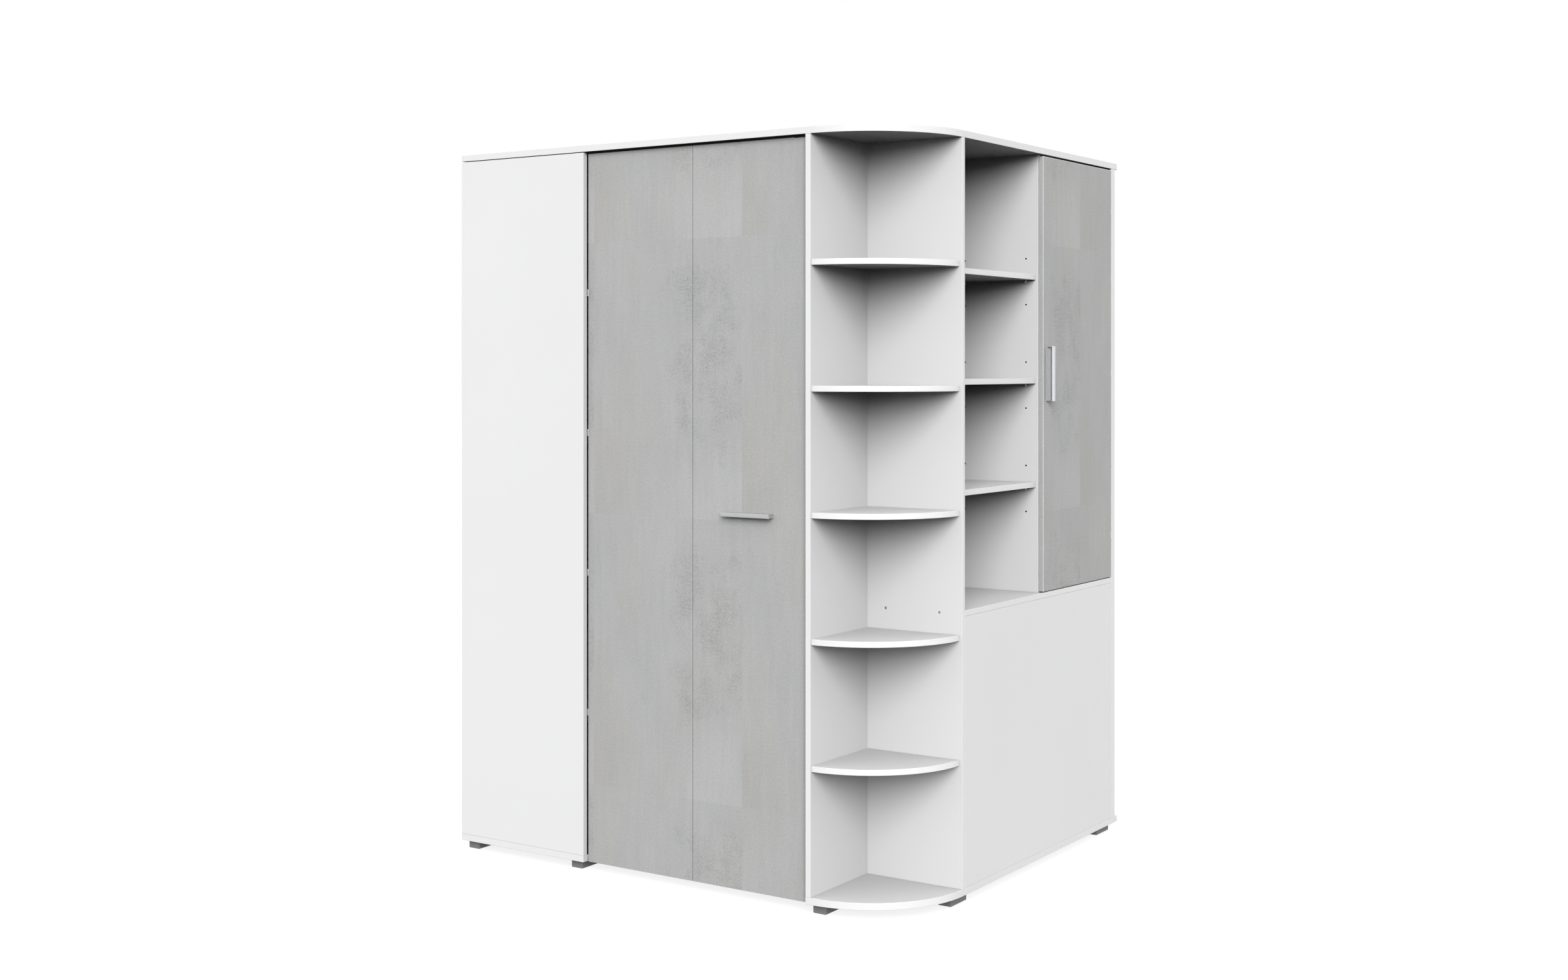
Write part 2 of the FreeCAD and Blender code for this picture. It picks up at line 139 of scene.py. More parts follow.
# %% [markdown]
# ## From a shape to a piece
# A finished bmesh becomes an object at the origin, with its place in its mesh.
# Faces are shaded smooth up to a small angle, so the bevels look round and the
# flats stay flat. The piece then rides on the body of the CAD node that it
# stands for, and takes that node's place.

# %% Finished pieces
SHARP_FROM = math.radians(13)
made = []


def piece(name, bm, finishes, nodes, body=None):
    """Make an object of a bmesh that stands for CAD nodes and rides on their body."""
    mesh = bpy.data.meshes.new(name)
    bm.to_mesh(mesh)
    bm.free()
    for finish in finishes:
        mesh.materials.append(finish)
    mesh.polygons.foreach_set("use_smooth", [True] * len(mesh.polygons))
    mesh.set_sharp_from_angle(angle=SHARP_FROM)
    obj = bpy.data.objects.new(name, mesh)
    bpy.context.scene.collection.objects.link(obj)
    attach(obj, body or body_of_node[nodes[0]])
    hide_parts(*nodes)
    made.append(obj)
    print("piece:", name, len(mesh.polygons), "faces")
    return obj


# %% [markdown]
# ## Finishes
# Furniture board is chipboard with a printed or plain melamine skin. The white
# one is nearly flat: only a fine pearl in the surface and a faint change of
# gloss keep it from looking like plastic. A picture of a board could be laid on
# it, but noise nodes stay sharp at any distance. The patterns read Object
# coordinates, and every piece sits at the origin, so they stay at one scale, in
# metres, on every board.

# %% Node helpers
def new_finish(name):
    """A node material, with its tree and its Principled shader."""
    finish = bpy.data.materials.new(name)
    finish.use_nodes = True
    return finish, finish.node_tree, finish.node_tree.nodes["Principled BSDF"]


def node(tree, kind, links=(), **values):
    """Add a node, set its properties and inputs by name, and link its inputs."""
    made_node = tree.nodes.new(kind)
    for key, value in values.items():
        if key in made_node.bl_rna.properties:
            setattr(made_node, key, value)
        else:
            made_node.inputs[key.replace("_", " ")].default_value = value
    for target, source in links:
        tree.links.new(source, made_node.inputs[target])
    return made_node


def place(tree, scale=(1, 1, 1)):
    """Object coordinates, stretched by scale."""
    coords = node(tree, "ShaderNodeTexCoord").outputs["Object"]
    return node(tree, "ShaderNodeMapping", [("Vector", coords)], Scale=scale).outputs["Vector"]


def noise(tree, vector, scale, detail=2.0, roughness=0.5):
    """A noise value about one half."""
    made_node = node(tree, "ShaderNodeTexNoise", [("Vector", vector)],
                     Scale=scale, Detail=detail, Roughness=roughness)
    return made_node.outputs["Fac"]


def span(tree, value, low, high, from_low=0.25, from_high=0.75):
    """Stretch a noise value to the span from low to high."""
    made_node = node(tree, "ShaderNodeMapRange", [("Value", value)],
                     From_Min=from_low, From_Max=from_high, To_Min=low, To_Max=high)
    return made_node.outputs["Result"]


def blend_colours(tree, value, dark, light):
    """A colour between two, by a value from 0 to 1."""
    made_node = node(tree, "ShaderNodeMix", [("Factor", value)],
                     data_type="RGBA", A=(*dark, 1), B=(*light, 1))
    return made_node.outputs["Result"]


def relief(tree, shader, height, strength, distance):
    """Give the shader a bump from a height value."""
    bump = node(tree, "ShaderNodeBump", [("Height", height)], Strength=strength, Distance=distance)
    tree.links.new(bump.outputs["Normal"], shader.inputs["Normal"])


def dress(tree, shader, tone, dark, light, sheen, gloss):
    """Colour by one value between two colours, and roughness by another within gloss."""
    tree.links.new(blend_colours(tree, tone, dark, light), shader.inputs["Base Color"])
    tree.links.new(span(tree, sheen, *gloss), shader.inputs["Roughness"])


print("finishes so far:", len(bpy.data.materials))

# %% White melamine, its edge bands, and lacquered hardboard
TONE_SCALE, GLOSS_SCALE, PEARL_SCALE, PEARL_HEIGHT = 2.2, 35.0, 650.0, 0.2 * MM


def melamine(name, dark, light, gloss, pearl):
    """A smooth board skin: faint tone, uneven gloss, fine pearl."""
    finish, tree, shader = new_finish(name)
    tone = span(tree, noise(tree, place(tree), TONE_SCALE, 3.0), 0, 1)
    dress(tree, shader, tone, dark, light, noise(tree, place(tree), GLOSS_SCALE, 3.0), gloss)
    relief(tree, shader, noise(tree, place(tree), PEARL_SCALE), pearl, PEARL_HEIGHT)
    return finish


white_board = melamine("white_melamine", (0.79, 0.791, 0.793), (0.81, 0.811, 0.812), (0.48, 0.58), 0.05)
edge_band = melamine("white_edge_band", (0.79, 0.791, 0.793), (0.81, 0.811, 0.812), (0.42, 0.5), 0.03)
# A lighter copy of the edge band for the round shelf rims: painted highlight.
rim_band_highlight = melamine("white_rim_band_painted_highlight", (0.82, 0.821, 0.823), (0.84, 0.841, 0.842), (0.42, 0.5), 0.03)
lacquered = melamine("white_lacquered_hardboard", (0.81, 0.81, 0.806), (0.83, 0.83, 0.826), (0.55, 0.65), 0.2)
# Near black: painted shade for the walls of holes and hinge beds.
hole_wall_painted_shade = melamine("hole_wall_painted_shade", (0.03, 0.026, 0.022), (0.05, 0.043, 0.036), (0.8, 0.95), 0.6)
print("board skins:", [m.name for m in (white_board, edge_band, rim_band_highlight, lacquered, hole_wall_painted_shade)])

# %% Bare hardboard
FIBRE_SCALE, FLECK_SCALE, PATCH_SCALE, PATCH_SHARE = 420.0, 85.0, 5.0, 0.35


def fibreboard(name, dark, light, gloss):
    """The bare back of hardboard: brown, with short fibres."""
    finish, tree, shader = new_finish(name)
    fibres = noise(tree, place(tree), FIBRE_SCALE, 4.0, 0.7)
    flecks = noise(tree, place(tree), FLECK_SCALE, 6.0, 0.75)
    patches = noise(tree, place(tree), PATCH_SCALE, 3.0)
    fine = node(tree, "ShaderNodeMath", [(0, fibres), (1, flecks)], operation="ADD").outputs["Value"]
    both = node(tree, "ShaderNodeMath", [(0, patches), (2, fine)], operation="MULTIPLY_ADD")
    both.inputs[1].default_value = PATCH_SHARE
    tone = span(tree, both.outputs["Value"], 0, 1, 0.85, 1.5)
    dress(tree, shader, tone, dark, light, fibres, gloss)
    relief(tree, shader, fibres, 0.35, 0.4 * MM)
    return finish


bare_hardboard = fibreboard("bare_hardboard", (0.22, 0.14, 0.08), (0.38, 0.26, 0.165), (0.7, 0.9))
print("hardboard:", bare_hardboard.name)

# %% [markdown]
# The doors wear a concrete-look print. Close up it is a fine speckle, coarser and
# darker in worn patches; from a few steps away it is clouds of warm and cool
# grey. Such a print repeats, as wallpaper does, and the join of two repeats is a
# faint straight edge. It could be one large picture, but layers of noise give
# the same look at every scale. One material serves both doors, because along
# each door's face x + y runs sideways and z runs up. Two values, sideways and
# up, say where a point lies within one repeat, and place the warm and the worn
# parts. The layers are then added up by weight.

# %% Concrete-look print
REPEAT_WIDTH, REPEAT_HEIGHT = 0.494, 0.741
JOIN_SIDEWAYS, JOIN_UP = -0.3835, 0.981
CLOUD_WEIGHT = 1.7
LAYER_WEIGHTS = {"pale": 2.2, "worn": -3.0, "warm": -1.1, "streaks": 1.7, "speckle": 4.2, "scratch": 3.2}
LEVEL_RANGE, CONTRAST = 10.0, 0.3
COOL_TINT, WARM_TINT = (0.988, 0.991, 1.0), (1.0, 0.99, 0.955)


def concrete_print(name, grey):
    """Speckled grey with clouds, worn patches, warm tints and faint joins."""
    finish, tree, shader = new_finish(name)

    def calculate(operation, *values):
        made_node = node(tree, "ShaderNodeMath", operation=operation)
        for socket, value in zip(made_node.inputs, values):
            if isinstance(value, (int, float)):
                socket.default_value = value
            else:
                tree.links.new(value, socket)
        return made_node.outputs["Value"]

    def add(a, b, factor):
        return calculate("MULTIPLY_ADD", b, factor, a)

    def ease(value, start, end):
        eased = span(tree, value, 0, 1, start, end)
        eased.node.interpolation_type = "SMOOTHSTEP"
        return eased

    def within_repeat(value, join_at, length):
        return calculate("FRACT", calculate("DIVIDE", calculate("SUBTRACT", value, join_at), length))

    coords = node(tree, "ShaderNodeTexCoord").outputs["Object"]
    axes = node(tree, "ShaderNodeSeparateXYZ", [("Vector", coords)]).outputs
    along = calculate("ADD", axes["X"], axes["Y"])
    face = node(tree, "ShaderNodeCombineXYZ", [("X", along), ("Y", axes["Z"])]).outputs["Vector"]
    sideways = within_repeat(along, JOIN_SIDEWAYS, REPEAT_WIDTH)
    up = within_repeat(axes["Z"], JOIN_UP, REPEAT_HEIGHT)

    def on_face(scale):
        return node(tree, "ShaderNodeMapping", [("Vector", face)], Scale=scale).outputs["Vector"]

    def pattern(stretch, scale, detail, roughness):
        return span(tree, noise(tree, on_face(stretch), scale, detail, roughness), -1, 1)

    clouds = pattern((1.7, 0.9, 1), 4.0, 6.0, 0.65)
    streaks = pattern((60, 5, 1), 1.0, 5.0, 0.7)
    strokes = pattern((30, 190, 1), 1.0, 4.0, 0.7)
    speckle = pattern((1, 0.85, 1), 210.0, 3.0, 0.75)
    ragged = pattern((1.3, 1, 1), 9.0, 8.0, 0.75)

    worn_side = calculate("MULTIPLY", ease(sideways, 0.36, 0.66), ease(up, 0.1, 0.42))
    worn_top = calculate("MULTIPLY", worn_side, ease(up, 1.0, 0.82))
    worn = ease(add(calculate("MULTIPLY_ADD", worn_top, 0.75, -0.4), ragged, 1.1), 0.0, 0.75)
    pale = calculate("MULTIPLY", ease(sideways, 0.45, 0.75), ease(up, 0.34, 0.1))
    warm = calculate("MULTIPLY", ease(sideways, 0.34, 0.02), ease(add(up, ragged, 0.2), 0.5, 0.12))
    scratch = calculate("MULTIPLY", worn, add(strokes, speckle, 1.2))

    layers = {"pale": pale, "worn": worn, "warm": warm, "streaks": streaks, "speckle": speckle, "scratch": scratch}
    level = calculate("MULTIPLY", clouds, CLOUD_WEIGHT)
    for layer, weight in LAYER_WEIGHTS.items():
        level = add(level, layers[layer], weight)
    tone = span(tree, level, grey * (1 - CONTRAST), grey * (1 + CONTRAST), -LEVEL_RANGE, LEVEL_RANGE)
    hue = add(noise(tree, on_face((1.6, 0.8, 1)), 3.5, 3.0), warm, 0.3)
    tint = blend_colours(tree, span(tree, hue, 0, 1, 0.42, 0.85), COOL_TINT, WARM_TINT)
    shade = node(tree, "ShaderNodeVectorMath", [(0, tint)], operation="SCALE")
    tree.links.new(tone, shade.inputs["Scale"])
    tree.links.new(shade.outputs["Vector"], shader.inputs["Base Color"])
    tree.links.new(span(tree, speckle, 0.56, 0.68, -1, 1), shader.inputs["Roughness"])
    shader.inputs["Specular IOR Level"].default_value = 0.3
    relief(tree, shader, add(speckle, scratch, 0.8), 0.06, 0.2 * MM)
    return finish


concrete_look = concrete_print("concrete_look_print", 0.435)
concrete_band = concrete_print("concrete_look_edge_band", 0.505)
# Light grey for the cabinet door's rounded arris: a painted highlight.
painted_highlight_band = melamine("painted_highlight_edge_band", (0.70, 0.70, 0.695), (0.76, 0.76, 0.755), (0.35, 0.45), 0.03)
print("door finishes:", [m.name for m in (concrete_look, concrete_band, painted_highlight_band)])

# %% [markdown]
# Handles, hinges and rail are metal; feet, caps and the sealing strip are
# plastic or lacquer. Brushing is noise that is stretched far along one axis, so
# it reads as fine lines. One value drives colour, gloss and relief together,
# because on the real metal a line is all three at once.

# %% Metals
SIDEWAYS_LINES, UPWARD_LINES = (25, 1500, 1500), (1500, 1500, 25)
SATIN = {"gloss": (0.25, 0.35), "bare": 0.4}


def metal(name, dark, light, stretch, gloss, bare=1.0):
    """Metal whose fine brushing runs where stretch is small; bare is below 1 under a matt coat."""
    finish, tree, shader = new_finish(name)
    lines = noise(tree, place(tree, stretch), 1.0, 3.0)
    dress(tree, shader, span(tree, lines, 0, 1), dark, light, lines, gloss)
    shader.inputs["Metallic"].default_value = bare
    relief(tree, shader, lines, 0.04, 0.1 * MM)
    return finish


# One aluminium in three tones: darker on the lying handle, painted shade; lighter on the standing handle, painted
# highlight; darker inside the channel, painted shade.
aluminium_lying_shaded = metal("aluminium_brushed_sideways_painted_shade", (0.49, 0.494, 0.506), (0.54, 0.544, 0.556),
                        SIDEWAYS_LINES, **SATIN)
aluminium_inside_painted_shade = metal("aluminium_inside_painted_shade", (0.53, 0.535, 0.55), (0.58, 0.585, 0.6), UPWARD_LINES, **SATIN)
aluminium_standing_lit = metal("aluminium_brushed_upwards_painted_highlight", (0.66, 0.665, 0.68), (0.72, 0.725, 0.74),
                           UPWARD_LINES, **SATIN)
nickel = metal("nickel_plated_steel", (0.52, 0.52, 0.53), (0.62, 0.62, 0.63), (900, 900, 900), (0.28, 0.4))
chrome = metal("polished_chrome", (0.76, 0.76, 0.77), (0.8, 0.8, 0.81), (300, 300, 300), (0.08, 0.12))
blackened = metal("blackened_steel", (0.02, 0.02, 0.021), (0.035, 0.035, 0.036), (700, 700, 700), (0.4, 0.5))
print("finishes so far:", len(bpy.data.materials))


# %% Plastics and lacquers
def moulded(name, dark, light, gloss, grain, mirror=0.5):
    """Plastic or matt lacquer with a fine moulded grain."""
    finish, tree, shader = new_finish(name)
    spots = noise(tree, place(tree), grain, 3.0)
    dress(tree, shader, span(tree, spots, 0, 1), dark, light, spots, gloss)
    shader.inputs["Specular IOR Level"].default_value = mirror
    relief(tree, shader, spots, 0.15, 0.2 * MM)
    return finish


# The black lacquer is the guide track's own finish, and painted shade on the stile strip beside the gap and on the
# guide's flange.
black_lacquer_and_painted_shade = moulded("black_lacquer_and_painted_shade", (0.006, 0.006, 0.006), (0.01, 0.01, 0.01), (0.5, 0.65), 500.0, 0.1)
dark_plastic = moulded("dark_plastic", (0.175, 0.175, 0.177), (0.21, 0.21, 0.212), (0.5, 0.62), 700.0)
grey_plastic = moulded("grey_plastic", (0.44, 0.44, 0.45), (0.5, 0.5, 0.51), (0.5, 0.6), 700.0)
white_coated = moulded("white_coated_steel", (0.74, 0.74, 0.745), (0.78, 0.78, 0.785), (0.4, 0.5), 900.0)
print("finishes:", len(bpy.data.materials))

# %% [markdown]
# ## Straight boards
# Every straight board is a block with a softened arris. Its two wide faces are
# board skin and its narrow faces are edge band, so each has two materials. They
# could be picked face by face, but the normal does it for all boards at once:
# what doesn't look along the board's thinnest side is edge. The two wide panels
# stop a hair short of the plates above and below, and the joints show as thin
# grey seams.

# %% Board shape
ARRIS = 0.7 * MM
SEAM = {"front_panel": 0.2 * MM, "lower_panel": 0.25 * MM}
FACING = 0.9
EDGE_BAND = 1


def thin_axis(name):
    """Which axis a board is thinnest along, and its box."""
    low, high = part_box(name)
    size = high - low
    return min(range(3), key=lambda axis: size[axis]), low, high


def band_edges(bm, axis):
    """Give each face that doesn't look along the thin axis the edge band."""
    bm.normal_update()
    for f in bm.faces:
        f.material_index = 0 if abs(f.normal[axis]) > FACING else EDGE_BAND
    return bm


def board(name, finishes, cutter=None):
    """One straight board in place of its CAD node, with anything cut out of it."""
    axis, low, high = thin_axis(name)
    seam = Vector((0, 0, SEAM.get(name, 0.0)))
    bm = band_edges(block(low + seam, high - seam, ARRIS), axis)
    if cutter is not None:
        bm = carve(bm, cutter)
    return piece(name + "_board", bm, finishes, [name])


# %% Boards without holes
WHITE = [white_board, edge_band, hole_wall_painted_shade]
plain_boards = ["left_base", "niche_post", "middle_shelf", "lower_panel", "hat_shelf"]
shelf_rows = {"open_shelf": 3, "cabinet_shelf": 3, "left_shelf": 4, "lower_shelf": 2}
shelves = ["%s_%d" % (row, index + 1) for row, count in shelf_rows.items() for index in range(count)]
for name in plain_boards + shelves:
    board(name, WHITE)

# %% [markdown]
# ## Drilled boards and shelf supports
# Loose shelves lie on four supports each: a steel stem in a blind hole and a
# small lug under the shelf. The uprights carry a few spare holes above and
# below, so the shelf can be moved. Dark discs could stand for the holes, but
# real ones keep their depth from every side: they are bars cut out of the board
# with the exact Boolean. Their walls are painted near black, as painted shade.

# %% Where the supports are
PIN_RADIUS, PIN_STEM, PIN_HOLE = 2.5 * MM, 6.5 * MM, 7.0 * MM
PIN_FRONT, PIN_REAR = 30 * MM, 38 * MM
LUG_WIDTH, LUG_LENGTH, LUG_HEIGHT = 7 * MM, 8 * MM, 8.5 * MM
SHELF_PLAY = 0.5 * MM
uprights = {"open_shelf": ("divider", "cabinet_partition"), "cabinet_shelf": ("cabinet_partition", "rear_side"),
            "left_shelf": ("front_panel", "left_partition"), "hat_shelf": ("left_partition", "left_end_panel"),
            "lower_shelf_1": ("divider", "lower_partition"), "lower_shelf_2": ("lower_partition", "rear_side")}


def support_places(shelf):
    """Four places for one shelf: x, the upright's face, which way it lies, and its name."""
    low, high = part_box(shelf)
    row = shelf if shelf in uprights else shelf.rsplit("_", 1)[0]
    front_low = shelf.startswith("lower")
    columns = (low.x + PIN_FRONT, high.x - PIN_REAR) if front_low else (high.x - PIN_FRONT, low.x + PIN_REAR)
    sides = ((low.y - SHELF_PLAY, -1), (high.y + SHELF_PLAY, 1))
    return [(Vector((x, y, low.z - LUG_HEIGHT / 2)), side, name)
            for x in columns for (y, side), name in zip(sides, uprights[row])]


print("supports of the hat shelf:", len(support_places("hat_shelf")))

# %% Supports and their holes
SPARE_STEP = 64 * MM
CUT_OVERRUN = 1 * MM
# HOLE_WALL is the finish of painted shade on the walls of holes and beds.
HOLE_WALL, HOLE_SIDES = 2, 20
STEM_ARRIS, LUG_ARRIS, LUG_SEGMENTS = 0.3 * MM, 1.2 * MM, 3


def painted(bm, index):
    """Give every face of a bmesh the finish of that number."""
    for f in bm.faces:
        f.material_index = index
    return bm


holes = {}
supports = {"right": bmesh.new(), "left": bmesh.new()}
for shelf in shelves + ["hat_shelf"]:
    wing = "left" if shelf.startswith(("left", "hat")) else "right"
    steps = (-SPARE_STEP, 0, SPARE_STEP) if shelf.startswith("open") else (0,)
    for place_at, side, upright in support_places(shelf):
        for step in steps:
            start = place_at + Vector((0, -side * CUT_OVERRUN, step))
            hole = bar(PIN_RADIUS, start, (0, side, 0), PIN_HOLE + CUT_OVERRUN, sides=HOLE_SIDES)
            join(holes.setdefault(upright, bmesh.new()), painted(hole, HOLE_WALL))
        join(supports[wing], bar(PIN_RADIUS, place_at, (0, side, 0), PIN_STEM, STEM_ARRIS))
        reach = Vector((LUG_WIDTH / 2, 0, LUG_HEIGHT / 2))
        tip = place_at + Vector((0, -side * LUG_LENGTH, 0))
        corners = [place_at - reach, tip + reach]
        low = Vector([min(pair) for pair in zip(*corners)])
        high = Vector([max(pair) for pair in zip(*corners)])
        join(supports[wing], block(low, high, LUG_ARRIS, LUG_SEGMENTS))
for wing, bm in supports.items():
    piece(wing + "_supports", bm, [nickel], [wing + "_shelf_supports"])
print("drilled boards:", sorted(holes))

# %% [markdown]
# ## Hinges
# The folding door hangs on slim barrel hinges in the gap beside it, and the
# cabinet door on the same kind, coated white so that they vanish beside the
# white side. A half is a plate let into the board's edge with one or two
# knuckles on it, and a pin holds the two halves. A hinge could be one piece, but
# its halves ride on different bodies, so each half is its own. Each is modelled
# at the origin about the Z axis and then set in place with a matrix.

# %% Where the hinges are
def solid_boxes(name):
    """The box of every separate solid in a CAD node."""
    bm = bmesh.new()
    bm.from_mesh(frame["nodes"][name].data)
    bmesh.ops.remove_doubles(bm, verts=bm.verts, dist=1e-6)
    boxes, seen = [], set()
    for start in bm.verts:
        if start in seen:
            continue
        island, edge_of_search = {start}, [start]
        while edge_of_search:
            for e in edge_of_search.pop().link_edges:
                for v in e.verts:
                    if v not in island:
                        island.add(v)
                        edge_of_search.append(v)
        seen |= island
        low = Vector([min(v.co[axis] for v in island) for axis in range(3)])
        high = Vector([max(v.co[axis] for v in island) for axis in range(3)])
        boxes.append((low, high))
    bm.free()
    return sorted(boxes, key=lambda pair: (pair[0].z, pair[0].x, pair[0].y))


def axes_of(pins):
    """The middle of each hinge pin in a CAD node."""
    return [(low + high) / 2 for low, high in solid_boxes(pins)]


leaf_axes = axes_of("leaf_hinge_pins")
door_axes = axes_of("door_hinge_pins")
fold_axes = axes_of("fold_pins")
print("hinges:", len(leaf_axes), "at the stile,", len(fold_axes), "at the fold,", len(door_axes), "at the cabinet")

# %% Shapes of an edge hinge
HINGE_GAP, AXIS_INSET, LEAF_THICK = 5 * MM, 2.2 * MM, 15 * MM
BARREL_RADIUS, BARREL_HEIGHT, KNUCKLE_GAP = 2.0 * MM, 18 * MM, 0.3 * MM
PLATE_HEIGHT, PLATE_THICK, PLATE_MARGIN, WEB = 60 * MM, 1.5 * MM, 1.4 * MM, 1.6 * MM
PLATE_ARRIS, KNUCKLE_ARRIS, TAB_ARRIS = 0.2 * MM, 0.15 * MM, 0.1 * MM
KNUCKLE = (BARREL_HEIGHT - 2 * KNUCKLE_GAP) / 3
OUTER_SPANS = [(-BARREL_HEIGHT / 2, KNUCKLE - BARREL_HEIGHT / 2), (BARREL_HEIGHT / 2 - KNUCKLE, BARREL_HEIGHT / 2)]
MIDDLE_SPANS = [(-KNUCKLE / 2, KNUCKLE / 2)]


def edge_plate(side, grow=0.0, arris=0.0):
    """The flat of an edge hinge; grown by a little it cuts the plate's bed."""
    face = side * HINGE_GAP / 2
    ends = sorted((face - side * grow, face + side * PLATE_THICK))
    return block((ends[0], PLATE_MARGIN - AXIS_INSET, -PLATE_HEIGHT / 2),
                 (ends[1], LEAF_THICK - PLATE_MARGIN - AXIS_INSET, PLATE_HEIGHT / 2), arris)


def knuckles(bm, spans, radius, tab_low, tab_high):
    """Knuckles about the Z axis, each with the tab that carries it."""
    for low, high in spans:
        join(bm, bar(radius, (0, 0, low), (0, 0, 1), high - low, KNUCKLE_ARRIS))
        join(bm, block((*tab_low, low), (*tab_high, high), TAB_ARRIS))
    return bm


def edge_half(side, spans):
    """Half of an edge hinge, with its plate at one side of the gap."""
    ends = sorted((0.0, side * HINGE_GAP / 2))
    plate = edge_plate(side, arris=PLATE_ARRIS)
    return knuckles(plate, spans, BARREL_RADIUS, (ends[0], -WEB / 2), (ends[1], WEB / 2))


print("knuckle height:", round(KNUCKLE / MM, 2), "mm")

# %% Edge hinges of both doors
HINGE_PIN, PIN_ARRIS = 1.0 * MM, 0.2 * MM
DOOR_TURN = 90


def row_of(shape, places, turn=0):
    """The same shape at several places, in one bmesh."""
    bm = bmesh.new()
    for middle in places:
        join(bm, shape(), Matrix.Translation(middle) @ Matrix.Rotation(math.radians(turn), 4, "Z"))
    return bm


def pin_shape(radius):
    """A maker of hinge pins, for row_of."""
    return lambda: bar(radius, (0, 0, -BARREL_HEIGHT / 2), (0, 0, 1), BARREL_HEIGHT, PIN_ARRIS)


stile_halves = row_of(lambda: edge_half(-1, OUTER_SPANS), leaf_axes)
leaf_halves = row_of(lambda: edge_half(1, MIDDLE_SPANS), leaf_axes)
piece("stile_hinge_halves", stile_halves, [nickel], ["stile_hinge_plates"])
piece("leaf_hinge_halves", leaf_halves, [nickel], ["leaf_hinge_plates"])
piece("leaf_pins", row_of(pin_shape(HINGE_PIN), leaf_axes), [nickel], ["leaf_hinge_pins"])
side_halves = row_of(lambda: edge_half(1, OUTER_SPANS), door_axes, DOOR_TURN)
door_halves = row_of(lambda: edge_half(-1, MIDDLE_SPANS), door_axes, DOOR_TURN)
piece("side_hinge_halves", side_halves, [white_coated], ["side_hinge_plates"])
piece("door_hinge_halves", door_halves, [white_coated], ["door_hinge_plates"])
piece("door_pins", row_of(pin_shape(HINGE_PIN), door_axes), [white_coated], ["door_hinge_pins"])

# %% Fold hinges on the backs of the two leaves
FOLD_PLATE_THICK, FOLD_PLATE_WIDTH = 1.5 * MM, 22 * MM
FOLD_DEPTH, FOLD_BARREL, FOLD_SETBACK, FOLD_PIN = 2.6 * MM, 2.2 * MM, 0.5 * MM, 1.1 * MM


def fold_half(side, spans):
    """Half of a fold hinge, with its plate flat on a leaf's back."""
    start = side * (FOLD_BARREL + FOLD_SETBACK)
    ends = sorted((start, start + side * FOLD_PLATE_WIDTH))
    bm = block((ends[0], -FOLD_DEPTH, -PLATE_HEIGHT / 2),
               (ends[1], FOLD_PLATE_THICK - FOLD_DEPTH, PLATE_HEIGHT / 2), PLATE_ARRIS)
    tab = sorted((0.0, start))
    return knuckles(bm, spans, FOLD_BARREL, (tab[0], -FOLD_DEPTH), (tab[1], FOLD_PLATE_THICK - FOLD_DEPTH))


piece("fold_halves_left", row_of(lambda: fold_half(-1, OUTER_SPANS), fold_axes), [nickel], ["fold_plates_left"])
piece("fold_halves_right", row_of(lambda: fold_half(1, MIDDLE_SPANS), fold_axes), [nickel], ["fold_plates_right"])
piece("fold_rods", row_of(pin_shape(FOLD_PIN), fold_axes), [nickel], ["fold_pins"])

# %% [markdown]
# ## Boards with holes and hinge beds
# The beds are cut with the same plate shape that fills them, so plate and board
# share one flush face. The divider also takes the two fixing screws of the
# middle shelf, whose heads show in the niche as two small dark dots. They are
# sunk and have a hexagon socket, because shade in a real recess makes them dark
# from every side.

# %% Fixing screws
SCREW_HEAD, SCREW_HEAD_HEIGHT = 3.5 * MM, 3.0 * MM
SCREW_SUNK, SCREW_SEAT, SCREW_ARRIS = 2.1 * MM, 0.1 * MM, 0.3 * MM
SCREW_SOCKET, SOCKET_DEPTH = 2.2 * MM, 0.6 * MM
SCREW_HOLE_SIDES, HEXAGON = 24, 6
screws = bmesh.new()
for low, high in solid_boxes("middle_shelf_screws"):
    start = Vector(((low.x + high.x) / 2, low.y, (low.z + high.z) / 2))
    outside = start - Vector((0, CUT_OVERRUN, 0))
    hole = bar(SCREW_HEAD, outside, (0, 1, 0), SCREW_HEAD_HEIGHT + CUT_OVERRUN, sides=SCREW_HOLE_SIDES)
    join(holes["divider"], painted(hole, HOLE_WALL))
    head = bar(SCREW_HEAD - SCREW_SEAT, start + Vector((0, SCREW_SUNK, 0)), (0, 1, 0),
               SCREW_HEAD_HEIGHT - SCREW_SUNK - SCREW_SEAT, SCREW_ARRIS)
    socket = bar(SCREW_SOCKET, outside, (0, 1, 0), SCREW_SUNK + SOCKET_DEPTH + CUT_OVERRUN, sides=HEXAGON)
    join(screws, carve(head, socket))
piece("middle_shelf_fixings", screws, [nickel], ["middle_shelf_screws"])

# %% Beds of the hinge plates
stile_beds = row_of(lambda: edge_plate(-1, CUT_OVERRUN), leaf_axes)
side_beds = row_of(lambda: edge_plate(1, CUT_OVERRUN), door_axes, DOOR_TURN)
join(holes["rear_side"], painted(side_beds, HOLE_WALL))
holes["hinge_stile"] = painted(stile_beds, HOLE_WALL)
print("boards to cut:", sorted(holes))

# %% [markdown]
# A black strip of painted shade runs up the stile's face beside the folding
# door and makes the gap read as one dark line. It could be a strip of its own,
# but it is thinner than paint: a plane cuts the face in two, and the front part
# is painted black, as painted shade.

# %% Cut boards and the painted shade strip
# The black strip beside the gap is painted shade.
PAINTED_SHADE_STRIP, STRIP_WIDTH = 3, 18 * MM


